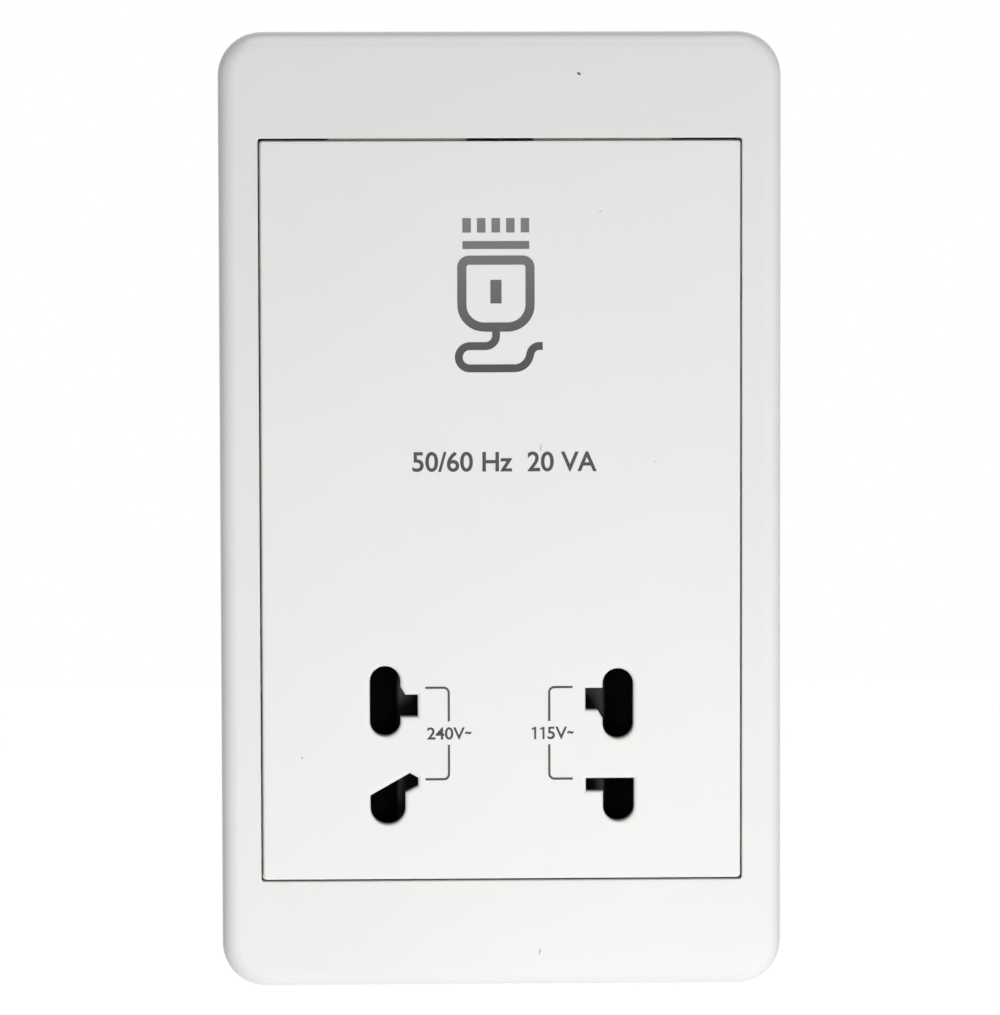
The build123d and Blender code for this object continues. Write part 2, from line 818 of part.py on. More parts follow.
# The lower wells share one contact, joined by a strip behind the middle of the carrier
with BuildPart() as contact_common:
    for side in (-1, 1):
        add(contact(side, lower_well, lower_leaf_width).part)
    bus, bus_thickness = plate(cover_front - strip, cover_front, 2 * leaf_rest_x, bus_width, 0, bus_z)
    extrude(bus, amount=bus_thickness)
contact_common.part.label = "contact_common"

# Shutter: one slider with two ports a side and a ramp beside each port
with BuildPart() as shutter:
    with BuildSketch(depth(shutter_back)):
        with Locations((0, socket_z)):
            RectangleRounded(shutter_length, shutter_height, tray_corner_radius)
        for side in (-1, 1):
            for low, high in (upper_port, lower_port):
                with Locations((side * (port_inner_x + port_outer_x) / 2, socket_z + (low + high) / 2)):
                    Rectangle(port_outer_x - port_inner_x, high - low, mode=Mode.SUBTRACT)
    extrude(amount=shutter_thickness)
    for low, high in (upper_port, lower_port):
        with BuildSketch(Plane.XY.offset(socket_z + low)):
            for side in (-1, 1):
                with BuildLine():
                    Polyline(
                        (side * ramp_outer_x, shutter_front),
                        (side * port_outer_x, shutter_front),
                        (side * port_outer_x, shutter_front + ramp_depth),
                        close=True,
                    )
                make_face()
        extrude(amount=high - low, mode=Mode.SUBTRACT)
    # Round-bottomed slot for the spring, from the back
    with BuildSketch(Plane.YZ.offset(-spring_length / 2 - spring_play)) as trough:
        with Locations((shutter_back, spring_z)):
            Circle(spring_radius + spring_wire / 2 + spring_play)
    extrude(trough.sketch, amount=spring_length + 2 * spring_play, mode=Mode.SUBTRACT)
    # Notch for the switch's arm
    notch, notch_depth = plate(
        shutter_front,
        shutter_front + dog_depth + dog_play,
        dog_width + 2 * dog_play,
        2 * dog_reach,
        0,
        shutter_top_z,
    )
    extrude(notch, amount=notch_depth, mode=Mode.SUBTRACT)
shutter.part.label = "shutter"

# Centring spring, an open coil along X
with BuildPart() as shutter_spring:
    spring_y = (shutter_back + tray_front) / 2
    with BuildLine() as coil:
        Helix(
            pitch=spring_length / spring_turns,
            height=spring_length,
            radius=spring_radius,
            center=(-spring_length / 2, spring_y, spring_z),
            direction=(1, 0, 0),
        )
    with BuildSketch(Plane(origin=coil.line @ 0, z_dir=coil.line % 0)):
        RegularPolygon(spring_wire / 2, 6)
    sweep(is_frenet=True)
shutter_spring.part.label = "shutter_spring"

# Selector switch: an open box on the tray, with three pads on its floor
switch_inner_height = switch_height - 2 * switch_wall
with BuildPart() as switch_base:
    with BuildSketch(depth(tray_front)):
        with Locations((0, switch_z)):
            RectangleRounded(switch_width, switch_height, tray_corner_radius)
    extrude(amount=switch_depth)
    with BuildSketch(depth(switch_floor)):
        with Locations((0, switch_z)):
            Rectangle(switch_width - 2 * switch_wall, switch_inner_height)
    extrude(amount=switch_floor - switch_front, mode=Mode.SUBTRACT)
    arm_way, arm_way_depth = plate(
        switch_front,
        switch_front + slider_front_gap + dog_depth + dog_play,
        arm_opening,
        2 * switch_wall,
        0,
        switch_z - switch_height / 2,
    )
    extrude(arm_way, amount=arm_way_depth, mode=Mode.SUBTRACT)
    with BuildSketch(depth(tray_front)) as tail_slots:
        with Locations((-side_pad_x, switch_z), (0, switch_z), (side_pad_x, switch_z)):
            Rectangle(pad_tail_width + 2 * tail_clearance, pad_tail_thickness + 2 * tail_clearance)
    extrude(tail_slots.sketch, amount=switch_wall, mode=Mode.SUBTRACT)
switch_base.part.label = "switch_base"

with BuildPart() as switch_pads:
    pads = ((-side_pad_x, side_pad_length), (0, common_pad_length), (side_pad_x, side_pad_length))
    for x, length in pads:
        pad, pad_height = plate(pad_front, switch_floor, length, pad_width, x, switch_z)
        extrude(pad, amount=pad_height)
        tail, tail_depth = plate(
            switch_floor, switch_floor + pad_tail_length, pad_tail_width, pad_tail_thickness, x, switch_z
        )
        extrude(tail, amount=tail_depth)
switch_pads.part.label = "switch_pads"

# Slider of the switch, with an arm down to the shutter's notch
slider_height = switch_inner_height - 2 * slider_play
arm_foot_z = shutter_top_z - dog_reach + dog_play
with BuildPart() as switch_slider:
    with BuildSketch(depth(slider_back)):
        with Locations((0, switch_z)):
            RectangleRounded(slider_width, slider_height, tray_corner_radius)
    extrude(amount=slider_thickness)
    arm_top = switch_z - slider_height / 2 + slider_play
    arm, arm_depth = plate(
        slider_front,
        slider_front + dog_depth,
        dog_width,
        arm_top - arm_foot_z,
        0,
        (arm_top + arm_foot_z) / 2,
    )
    extrude(arm, amount=arm_depth)
switch_slider.part.label = "switch_slider"

# Sprung bridge under the slider, with one foot on each pad
with BuildPart() as switch_bridge:
    foot_y = pad_front - bridge_air - bridge_strip / 2
    with BuildSketch(Plane.XY.offset(switch_z)):
        with BuildLine():
            FilletPolyline(
                (-bridge_foot_x - bridge_toe, foot_y - bridge_toe_rise),
                (-bridge_foot_x, foot_y),
                (-bridge_foot_x / 2, slider_back + bridge_strip / 2),
                (bridge_foot_x / 2, slider_back + bridge_strip / 2),
                (bridge_foot_x, foot_y),
                (bridge_foot_x + bridge_toe, foot_y - bridge_toe_rise),
                radius=bridge_bend,
            )
        trace(line_width=bridge_strip)
    extrude(amount=bridge_width / 2, both=True)
switch_bridge.part.label = "switch_bridge"

# Transformer core: a stack of E stampings closed by a stack of I stampings
with BuildPart() as core_e_stack:
    with BuildSketch(depth(core_back)):
        with Locations((-core_leg / 2, core_z)):
            Rectangle(core_width - core_leg, core_length)
        with Locations((0, core_z)):
            with GridLocations(0, 3 * core_leg, 1, 2):
                Rectangle(3 * core_leg, core_leg, mode=Mode.SUBTRACT)
        with Locations((-core_hole_x, core_z)):
            with GridLocations(0, 2 * core_hole_z, 1, 2):
                Circle(core_hole_radius, mode=Mode.SUBTRACT)
    extrude(amount=core_stack)
core_e_stack.part.label = "core_e_stack"

with BuildPart() as core_i_stack:
    with BuildSketch(depth(core_back)):
        with Locations((2 * core_leg, core_z)):
            Rectangle(core_leg, core_length)
            with GridLocations(0, 2 * core_hole_z, 1, 2):
                Circle(core_hole_radius, mode=Mode.SUBTRACT)
    extrude(amount=core_stack)
core_i_stack.part.label = "core_i_stack"

core_screws = screws(
    core_front,
    core_screw_radius,
    core_screw_length,
    core_screw_head_radius,
    core_screw_head_height,
    core_places,
    False,
)
core_screws.part.label = "core_screws"


def coil_ring(x, length, height, deep, inner_height, inner_depth, corner):
    """A square ring about the coil's axis, and its length along X."""
    with BuildSketch(Plane.YZ.offset(x - length / 2)) as ring:
        with Locations((coil_y, core_z)):
            RectangleRounded(deep, height, corner)
            Rectangle(inner_depth, inner_height, mode=Mode.SUBTRACT)
    return ring.sketch, length


# Bobbin: a square tube round the middle leg, two end cheeks and a partition
with BuildPart() as bobbin:
    tube, tube_length = coil_ring(
        0, bobbin_length, tube_outer_height, tube_outer_depth, tube_height, tube_depth, bobbin_wall / 2
    )
    extrude(tube, amount=tube_length)
    for x in (-(bobbin_length - bobbin_wall) / 2, 0, (bobbin_length - bobbin_wall) / 2):
        cheek, cheek_wall = coil_ring(
            x, bobbin_wall, cheek_height, cheek_depth, tube_height, tube_depth, bobbin_corner_radius
        )
        extrude(cheek, amount=cheek_wall)
bobbin.part.label = "bobbin"

winding_length = (bobbin_length - 3 * bobbin_wall) / 2
winding_x = (winding_length + bobbin_wall) / 2
winding_height = cheek_height - 2 * winding_clearance
winding_depth = cheek_depth - 2 * winding_clearance
windings = []
for side in (-1, 1):
    with BuildPart() as winding:
        turns, turns_length = coil_ring(
            side * winding_x,
            winding_length,
            winding_height,
            winding_depth,
            tube_outer_height,
            tube_outer_depth,
            2 * bobbin_corner_radius,
        )
        extrude(turns, amount=turns_length)
    windings.append(winding)
secondary_winding, primary_winding = windings
primary_winding.part.label = "primary_winding"
secondary_winding.part.label = "secondary_winding"

# Insulating tape round each winding
with BuildPart() as coil_tape:
    for side in (-1, 1):
        with BuildSketch(Plane.YZ.offset(side * winding_x - winding_length / 2)) as wrap:
            with Locations((coil_y, core_z)):
                RectangleRounded(
                    winding_depth + 2 * tape_thickness,
                    winding_height + 2 * tape_thickness,
                    2 * bobbin_corner_radius + tape_thickness,
                )
                RectangleRounded(
                    winding_depth, winding_height, 2 * bobbin_corner_radius, mode=Mode.SUBTRACT
                )
        extrude(wrap.sketch, amount=winding_length)
coil_tape.part.label = "coil_tape"

# Solder pins in the front edge of each end cheek
cheek_front = coil_y - cheek_depth / 2
with BuildPart() as bobbin_pins:
    for x in (-(bobbin_length - bobbin_wall) / 2, (bobbin_length - bobbin_wall) / 2):
        with BuildSketch(depth(cheek_front)) as pin_rows:
            with Locations((x, core_z)):
                with GridLocations(0, coil_pin_pitch, 1, coil_pin_count):
                    Rectangle(coil_pin, coil_pin)
        extrude(pin_rows.sketch, amount=coil_pin_length)
bobbin_pins.part.label = "bobbin_pins"

# Thermal cutout on the front of the primary winding
tape_front = coil_y - winding_depth / 2 - tape_thickness
with BuildPart() as thermal_cutout:
    with BuildSketch(depth(tape_front)):
        with Locations((winding_x, core_z)):
            RectangleRounded(cutout_width, cutout_height, cutout_corner_radius)
    extrude(amount=cutout_depth)
    fillet(thermal_cutout.faces().sort_by(Axis.Y)[0].edges(), cutout_edge_radius)
thermal_cutout.part.label = "thermal_cutout"

# Terminal block: three cells for brass terminals, screwed to the outside of the step
terminal_z = (terminal_top_z + terminal_bottom_z) / 2
brass_bottom_z = terminal_bottom_z + cell_bottom_wall
terminal_xs = (-terminal_pitch, 0, terminal_pitch)
clamp_places = [(x, clamp_z) for x in terminal_xs]
with BuildPart() as terminal_block:
    with BuildSketch(depth(block_back)):
        with Locations((0, terminal_z)):
            RectangleRounded(terminal_width, terminal_height, terminal_corner_radius)
    extrude(amount=terminal_depth)
    fillet(terminal_block.faces().sort_by(Axis.Y)[-1].edges(), terminal_corner_radius / 2)
    # Cells, open at the top
    cell_height = terminal_top_z - brass_bottom_z
    for x in terminal_xs:
        cell, cell_depth = plate(
            brass_front,
            brass_back + brass_clearance,
            brass_width + 2 * brass_clearance,
            cell_height,
            x,
            brass_bottom_z + cell_height / 2,
        )
        extrude(cell, amount=cell_depth, mode=Mode.SUBTRACT)
    # Wire entries from below and driver holes from behind
    with BuildSketch(Plane.XY.offset(terminal_bottom_z)) as entries:
        with Locations((0, wire_bore_y)):
            with GridLocations(terminal_pitch, 0, 3, 1):
                Rectangle(wire_entry_width, wire_entry_width)
    extrude(entries.sketch, amount=cell_bottom_wall, mode=Mode.SUBTRACT)
    drivers, driver_depth = discs(brass_back, block_back, driver_radius, clamp_places)
    extrude(drivers, amount=driver_depth, mode=Mode.SUBTRACT)
    # Slots for the terminals' tails, and the two fixing holes
    with BuildSketch(depth(brass_front)) as tail_slots:
        with Locations((0, terminal_tail_z)):
            with GridLocations(terminal_pitch, 0, 3, 1):
                Rectangle(tail_slot_width, tail_slot_height)
    extrude(tail_slots.sketch, amount=cell_floor, mode=Mode.SUBTRACT)
    block_screw_seat = block_back - block_screw_head_height
    holes, hole_depth = discs(
        step_back, block_back, block_screw_radius + screw_clearance, block_screw_places
    )
    extrude(holes, amount=hole_depth, mode=Mode.SUBTRACT)
    sinks, sink_depth = discs(
        block_screw_seat, block_back, block_screw_head_radius + screw_clearance, block_screw_places
    )
    extrude(sinks, amount=sink_depth, mode=Mode.SUBTRACT)
terminal_block.part.label = "terminal_block"

terminal_block_screws = screws(
    block_screw_seat,
    block_screw_radius,
    block_screw_length,
    block_screw_head_radius,
    block_screw_head_height,
    block_screw_places,
    True,
)
terminal_block_screws.part.label = "terminal_block_screws"


def terminal(x):
    """A brass block with a wire bore from below, a clamp screw hole from behind and a tail inside."""
    with BuildPart() as piece:
        body, body_depth = plate(
            brass_front, brass_back, brass_width, brass_height, x, brass_bottom_z + brass_height / 2
        )
        extrude(body, amount=body_depth)
        with BuildSketch(Plane.XY.offset(brass_bottom_z)) as bore:
            with Locations((x, wire_bore_y)):
                Circle(wire_bore_radius)
        extrude(bore.sketch, amount=wire_bore_depth, mode=Mode.SUBTRACT)
        screw_hole, screw_hole_depth = discs(
            wire_bore_y, brass_back, clamp_screw_radius + pilot_clearance, [(x, clamp_z)]
        )
        extrude(screw_hole, amount=screw_hole_depth, mode=Mode.SUBTRACT)
        tail, tail_depth = plate(
            brass_front - terminal_tail_length,
            brass_front,
            terminal_tail_width,
            terminal_tail_thickness,
            x,
            terminal_tail_z,
        )
        extrude(tail, amount=tail_depth)
    return piece


terminal_live, terminal_earth, terminal_neutral = [terminal(x) for x in terminal_xs]
terminal_live.part.label = "terminal_live"
terminal_earth.part.label = "terminal_earth"
terminal_neutral.part.label = "terminal_neutral"

# Headless clamp screws with a straight slot
clamp_front = wire_bore_y + wire_bore_radius + clamp_tip_gap
clamp_back = clamp_front + clamp_screw_length
with BuildPart() as terminal_screws:
    stems, stem_length = discs(clamp_front, clamp_back, clamp_screw_radius, clamp_places)
    extrude(stems, amount=stem_length)
    for x in terminal_xs:
        driver_slot, slot_depth = plate(
            clamp_back - cross_slot_depth, clamp_back, 2 * clamp_screw_radius, cross_slot_width, x, clamp_z
        )
        extrude(driver_slot, amount=slot_depth, mode=Mode.SUBTRACT)
terminal_screws.part.label = "terminal_screws"

pieces = (
    cover_frame,
    front_panel,
    mounting_plate,
    rear_housing,
    housing_screws,
    contact_carrier,
    carrier_cover,
    carrier_screws,
    contact_240v,
    contact_115v,
    contact_common,
    shutter,
    shutter_spring,
    switch_base,
    switch_pads,
    switch_slider,
    switch_bridge,
    core_e_stack,
    core_i_stack,
    core_screws,
    bobbin,
    primary_winding,
    secondary_winding,
    coil_tape,
    bobbin_pins,
    thermal_cutout,
    terminal_block,
    terminal_block_screws,
    terminal_live,
    terminal_neutral,
    terminal_earth,
    terminal_screws,
)
os.makedirs("parts", exist_ok=True)
for piece in pieces:
    export_step(piece.part, f"parts/{piece.part.label}.step")
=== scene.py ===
from math import cos, pi, radians, sin

import bpy
from mathutils import Matrix, Vector


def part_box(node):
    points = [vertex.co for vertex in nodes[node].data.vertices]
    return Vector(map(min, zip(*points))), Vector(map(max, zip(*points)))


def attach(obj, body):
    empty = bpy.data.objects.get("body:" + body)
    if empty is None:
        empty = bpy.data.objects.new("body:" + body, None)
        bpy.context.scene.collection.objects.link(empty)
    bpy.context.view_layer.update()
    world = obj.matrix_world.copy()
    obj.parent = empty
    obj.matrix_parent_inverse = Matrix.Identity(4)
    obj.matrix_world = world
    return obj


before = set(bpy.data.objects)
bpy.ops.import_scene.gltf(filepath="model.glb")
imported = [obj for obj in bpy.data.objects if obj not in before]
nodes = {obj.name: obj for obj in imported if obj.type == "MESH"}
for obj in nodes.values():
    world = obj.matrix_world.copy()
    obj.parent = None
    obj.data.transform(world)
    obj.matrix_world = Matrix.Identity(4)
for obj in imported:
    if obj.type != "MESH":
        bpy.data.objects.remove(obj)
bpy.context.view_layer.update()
print("frame loaded:", len(nodes), "nodes")


# Small helpers

def deselectAll():
    bpy.ops.object.select_all(action="DESELECT")


def pickOnly(piece):
    deselectAll()
    piece.select_set(True)
    bpy.context.view_layer.objects.active = piece


def settle(piece):
    # Puts the place, turn and scale of an object into its mesh
    pickOnly(piece)
    bpy.ops.object.transform_apply(location=True, rotation=True, scale=True)


def applyModifiers(piece):
    pickOnly(piece)
    for modifier in list(piece.modifiers):
        bpy.ops.object.modifier_apply(modifier=modifier.name)


def joinPieces(pieces, name):
    deselectAll()
    for piece in pieces:
        piece.select_set(True)
    bpy.context.view_layer.objects.active = pieces[0]
    if len(pieces) > 1:
        bpy.ops.object.join()
    joined = bpy.context.active_object
    joined.name = name
    joined.data.name = name
    return joined


def wear(piece, material):
    piece.data.materials.clear()
    piece.data.materials.append(material)


# Node helpers for the materials. All patterns read Object coordinates, in metres

noiseMiddle = (0.3, 0.7)     # most of a noise texture lies between these
markEdge = (0.7, 1.3)        # a mark fades out between these shares of its size


def startMaterial(name):
    material = bpy.data.materials.new(name)
    material.use_nodes = True
    tree = material.node_tree
    place = tree.nodes.new("ShaderNodeTexCoord").outputs["Object"]
    return material, tree, tree.nodes["Principled BSDF"], place


def noiseOf(tree, place, size, detail=2.0, stretch=(1, 1, 1)):
    # size is the width of one blotch
    mapping = tree.nodes.new("ShaderNodeMapping")
    mapping.inputs["Scale"].default_value = [s / size for s in stretch]
    noise = tree.nodes.new("ShaderNodeTexNoise")
    noise.inputs["Scale"].default_value = 1.0
    noise.inputs["Detail"].default_value = detail
    tree.links.new(place, mapping.inputs["Vector"])
    tree.links.new(mapping.outputs["Vector"], noise.inputs["Vector"])
    return noise.outputs["Fac"]


def bandsOf(tree, place, axis, pitch, waver=0.0):
    # Even bands along one axis, one every pitch
    wave = tree.nodes.new("ShaderNodeTexWave")
    wave.wave_type = "BANDS"
    wave.bands_direction = axis
    wave.inputs["Scale"].default_value = pi / 10 / pitch
    wave.inputs["Distortion"].default_value = waver
    wave.inputs["Detail"].default_value = 1.0
    wave.inputs["Detail Scale"].default_value = 0.2
    tree.links.new(place, wave.inputs["Vector"])
    return wave.outputs["Fac"]


def spread(tree, value, low, high, fromLow=noiseMiddle[0], fromHigh=noiseMiddle[1], smooth=False):
    # Moves a value from one range to another
    node = tree.nodes.new("ShaderNodeMapRange")
    if smooth:
        node.interpolation_type = "SMOOTHSTEP"
    for socket, number in (("From Min", fromLow), ("From Max", fromHigh), ("To Min", low), ("To Max", high)):
        node.inputs[socket].default_value = number
    tree.links.new(value, node.inputs["Value"])
    return node.outputs["Result"]


def mixTint(tree, factor, first, second):
    # first and second are each a colour or a socket
    node = tree.nodes.new("ShaderNodeMix")
    node.data_type = "RGBA"
    tree.links.new(factor, node.inputs[0])
    for socket, tint in ((node.inputs[6], first), (node.inputs[7], second)):
        if isinstance(tint, (tuple, list)):
            socket.default_value = (*tint, 1)
        else:
            tree.links.new(tint, socket)
    return node.outputs[2]


def bumpFrom(tree, height, depth, below=None):
    node = tree.nodes.new("ShaderNodeBump")
    node.inputs["Distance"].default_value = depth
    tree.links.new(height, node.inputs["Height"])
    if below is not None:
        tree.links.new(below, node.inputs["Normal"])
    return node.outputs["Normal"]


def markMask(tree, place, mark):
    # A small spot or hair at one place: 1 on it, 0 away from it
    centre, size, tilt = mark
    mapping = tree.nodes.new("ShaderNodeMapping")
    mapping.vector_type = "TEXTURE"
    mapping.inputs["Location"].default_value = centre
    mapping.inputs["Rotation"].default_value = (0, radians(tilt), 0)
    mapping.inputs["Scale"].default_value = size
    length = tree.nodes.new("ShaderNodeVectorMath")
    length.operation = "LENGTH"
    tree.links.new(place, mapping.inputs["Vector"])
    tree.links.new(mapping.outputs["Vector"], length.inputs[0])
    return spread(tree, length.outputs["Value"], 1.0, 0.0, *markEdge, smooth=True)


# Materials

def mouldedPlastic(name, look):
    material, tree, shader, place = startMaterial(name)
    blotch = noiseOf(tree, place, look["blotch"], 3.0)
    tint = mixTint(tree, spread(tree, blotch, 0, 1), look["colour"], look["shade"])
    for mark in look.get("marks", ()):
        tint = mixTint(tree, markMask(tree, place, mark), tint, look["markTint"])
    # Painted light: nearer the middle along one axis the tint turns to another, lighter colour that stands
    # in for light reaching there
    if "paintedLight" in look:
        axis, start, end, other = look["paintedLight"]
        parts = tree.nodes.new("ShaderNodeSeparateXYZ")
        tree.links.new(place, parts.inputs[0])
        amount = tree.nodes.new("ShaderNodeMath")
        amount.operation = "ABSOLUTE"
        tree.links.new(parts.outputs[axis], amount.inputs[0])
        tint = mixTint(tree, spread(tree, amount.outputs[0], 0, 1, start, end, smooth=True), tint, other)
    tree.links.new(tint, shader.inputs["Base Color"])
    grain = noiseOf(tree, place, look["grain"][0], 2.0)
    smear = noiseOf(tree, place, look["blotch"] / 4, 4.0)    # a smear is a quarter of a blotch across
    tree.links.new(spread(tree, smear, *look["roughness"]), shader.inputs["Roughness"])
    wave = noiseOf(tree, place, look["wave"][0], 1.0)
    normal = bumpFrom(tree, wave, look["wave"][1])
    tree.links.new(bumpFrom(tree, grain, look["grain"][1], normal), shader.inputs["Normal"])
    shader.inputs["IOR"].default_value = look["ior"]
    shader.inputs["Specular IOR Level"].default_value = look.get("specular", 0.5)
    return material


def bareMetal(name, look):
    material, tree, shader, place = startMaterial(name)
    streak = noiseOf(tree, place, look["streak"][0], 3.0, look["stretch"])
    cloud = noiseOf(tree, place, look["blotch"], 4.0)
    tint = mixTint(tree, spread(tree, cloud, 0, 1), look["colour"], look["shade"])
    streaked = mixTint(tree, spread(tree, streak, 0, look["streakTint"]), tint, look["shade"])
    tree.links.new(streaked, shader.inputs["Base Color"])
    tree.links.new(spread(tree, cloud, *look["roughness"]), shader.inputs["Roughness"])
    tree.links.new(bumpFrom(tree, streak, look["streak"][1]), shader.inputs["Normal"])
    shader.inputs["Metallic"].default_value = 1.0
    return material


def bandedFinish(name, look):
    # Windings, core plates and wound tape: bands along one axis, over a blotchy ground
    material, tree, shader, place = startMaterial(name)
    bands = bandsOf(tree, place, look["axis"], look["pitch"], look["waver"])
    cloud = noiseOf(tree, place, look["blotch"], 3.0)
    ground = mixTint(tree, spread(tree, cloud, 0, 1), look["colour"], look["shade"])
    line = spread(tree, bands, 1.0, 0.0, 0.0, look["lineWidth"])
    tree.links.new(mixTint(tree, line, ground, look["line"]), shader.inputs["Base Color"])
    tree.links.new(spread(tree, cloud, *look["roughness"]), shader.inputs["Roughness"])
    tree.links.new(bumpFrom(tree, bands, look["depth"]), shader.inputs["Normal"])
    shader.inputs["Metallic"].default_value = look["metallic"]
    shader.inputs["Coat Weight"].default_value = look["coat"]
    return material


def printingInk(name, look):
    # Ink whose tint may change with height, worn through here and there
    _, tree, shader, place = startMaterial(name)
    parts = tree.nodes.new("ShaderNodeSeparateXYZ")
    tree.links.new(place, parts.inputs[0])
    low, high = look["span"]
    height = spread(tree, parts.outputs["Z"], 0, 1, low, high)
    tint = mixTint(tree, height, look["low"], look["high"])
    mottle = noiseOf(tree, place, look["mottle"], 2.0)
    worn = mixTint(tree, spread(tree, mottle, 0, look["bare"]), tint, look["under"])
    tree.links.new(worn, shader.inputs["Base Color"])
    tree.links.new(spread(tree, mottle, *look["roughness"]), shader.inputs["Roughness"])
    tree.links.new(bumpFrom(tree, mottle, look["depth"]), shader.inputs["Normal"])


glossWhite = {
    "colour": (0.865, 0.865, 0.850), "shade": (0.852, 0.852, 0.836), "blotch": 0.03,
    "roughness": (0.07, 0.12), "grain": (0.00035, 4e-7), "wave": (0.012, 4e-6), "ior": 1.5,
    "markTint": (0.05, 0.05, 0.048),
}
# The frame wears the panel's white painted a little darker: painted shade for its sides, which lean away
# from the light
# Each mark is a speck or a hair in the plastic: its place, its half size and its tilt in degrees
frameLook = dict(glossWhite, colour=(0.840, 0.840, 0.826), shade=(0.826, 0.826, 0.811), marks=(
    ((0.01203, -0.0105, 0.06671), (0.00030, 0.001, 0.00018), 35),
    ((0.00578, -0.0105, -0.06785), (0.00006, 0.001, 0.00045), 8),
))
panelLook = dict(glossWhite, markTint=(0.34, 0.34, 0.33), marks=(
    ((0.00610, -0.0108, 0.00978), (0.00007, 0.001, 0.00055), 4),
    ((-0.03058, -0.0108, -0.03767), (0.00014, 0.001, 0.00012), 0),
    ((0.02367, -0.0108, 0.00757), (0.00012, 0.001, 0.00007), 20),
    ((0.01525, -0.0108, 0.04582), (0.00020, 0.001, 0.00005), -30),
))
satinWhite = dict(glossWhite, roughness=(0.34, 0.44), grain=(0.0003, 2e-6))
greyHousing = {
    "colour": (0.66, 0.665, 0.66), "shade": (0.63, 0.635, 0.63), "blotch": 0.025,
    "roughness": (0.42, 0.52), "grain": (0.0003, 7e-6), "wave": (0.02, 1.5e-5), "ior": 1.5,
}
blackCarrier = {
    "colour": (0.016, 0.016, 0.016), "shade": (0.024, 0.024, 0.023), "blotch": 0.008,
    "roughness": (0.36, 0.5), "grain": (0.00025, 3e-6), "wave": (0.01, 6e-6), "ior": 1.5,
}
blackShutter = dict(
    blackCarrier, colour=(0.0012, 0.0012, 0.0012), shade=(0.0020, 0.0020, 0.0020), specular=0.01,
    paintedLight=("X", 0.0162, 0.0154, (0.065, 0.065, 0.065)),   # painted light: the deep end of each ramp, under the notches, is painted dark grey as if lit
)
blockWhite = dict(greyHousing, colour=(0.74, 0.74, 0.71), shade=(0.70, 0.70, 0.67), roughness=(0.3, 0.4))
bobbinNylon = dict(greyHousing, colour=(0.72, 0.69, 0.58), shade=(0.66, 0.62, 0.50), roughness=(0.3, 0.42))
cutoutCase = dict(blackCarrier, colour=(0.03, 0.03, 0.035), shade=(0.045, 0.045, 0.05))
stripBrass = {
    "colour": (0.76, 0.56, 0.26), "shade": (0.48, 0.32, 0.14), "blotch": 0.006, "roughness": (0.2, 0.42),
    "streak": (0.0004, 2e-6), "stretch": (0.08, 0.08, 1), "streakTint": 0.35,
}
blockBrass = dict(stripBrass, stretch=(1, 1, 0.06), streak=(0.0003, 3e-6))
zincScrew = {
    "colour": (0.66, 0.66, 0.64), "shade": (0.40, 0.40, 0.38), "blotch": 0.002, "roughness": (0.22, 0.4),
    "streak": (0.0003, 2e-6), "stretch": (1, 0.2, 1), "streakTint": 0.35,
}
springWire = dict(zincScrew, colour=(0.5, 0.5, 0.5), shade=(0.3, 0.3, 0.29), stretch=(1, 1, 1))
tinnedPin = dict(zincScrew, colour=(0.72, 0.72, 0.73), shade=(0.5, 0.5, 0.5))
corePlates = {
    "axis": "Y", "pitch": 0.0005, "waver": 0.3, "blotch": 0.006, "colour": (0.16, 0.155, 0.15),
    "shade": (0.09, 0.06, 0.04), "line": (0.02, 0.018, 0.016), "lineWidth": 0.45, "depth": 6e-5,
    "roughness": (0.35, 0.6), "metallic": 0.75, "coat": 0.3,
}
copperWire = {
    "axis": "X", "pitch": 0.00036, "waver": 0.6, "blotch": 0.004, "colour": (0.50, 0.17, 0.06),
    "shade": (0.34, 0.10, 0.035), "line": (0.06, 0.015, 0.006), "lineWidth": 0.6, "depth": 1.2e-4,
    "roughness": (0.2, 0.32), "metallic": 0.6, "coat": 0.6,
}
yellowTape = {
    "axis": "X", "pitch": 0.0059, "waver": 0.1, "blotch": 0.01, "colour": (0.74, 0.56, 0.08),
    "shade": (0.66, 0.47, 0.05), "line": (0.40, 0.27, 0.03), "lineWidth": 0.05, "depth": 4e-5,
    "roughness": (0.18, 0.3), "metallic": 0.0, "coat": 0.4,
}
finishes = (
    (mouldedPlastic, frameLook, "whiteFrame", ("cover_frame",)),
    (mouldedPlastic, panelLook, "whitePanel", ("front_panel",)),
    (mouldedPlastic, satinWhite, "whitePlate", ("mounting_plate",)),
    (mouldedPlastic, greyHousing, "greyHousing", ("rear_housing",)),
    (mouldedPlastic, blackCarrier, "blackCarrier", ("contact_carrier", "carrier_cover", "switch_base")),
    (mouldedPlastic, blackShutter, "blackShutter", ("shutter", "switch_slider")),
    (mouldedPlastic, blockWhite, "blockWhite", ("terminal_block",)),
    (mouldedPlastic, bobbinNylon, "bobbinNylon", ("bobbin",)),
    (mouldedPlastic, cutoutCase, "cutoutCase", ("thermal_cutout",)),
    (bareMetal, stripBrass, "stripBrass", (
        "contact_240v", "contact_115v", "contact_common", "switch_pads", "switch_bridge")),
    (bareMetal, blockBrass, "blockBrass", ("terminal_live", "terminal_neutral", "terminal_earth")),
    (bareMetal, zincScrew, "zincScrew", (
        "housing_screws", "carrier_screws", "core_screws", "terminal_block_screws", "terminal_screws")),
    (bareMetal, springWire, "springWire", ("shutter_spring",)),
    (bareMetal, tinnedPin, "tinnedPin", ("bobbin_pins",)),
    (bandedFinish, corePlates, "corePlates", ("core_e_stack", "core_i_stack")),
    (bandedFinish, copperWire, "copperWire", ("primary_winding", "secondary_winding")),
    (bandedFinish, yellowTape, "yellowTape", ("coil_tape",)),
)
for make, look, name, wearers in finishes:
    material = make(name, look)
    for node in wearers:
        wear(nodes[node], material)
print("finishes given to the CAD nodes")


# Print on the panel. It is drawn flat, in X and Y as seen from the room, then stood up on the panel's face

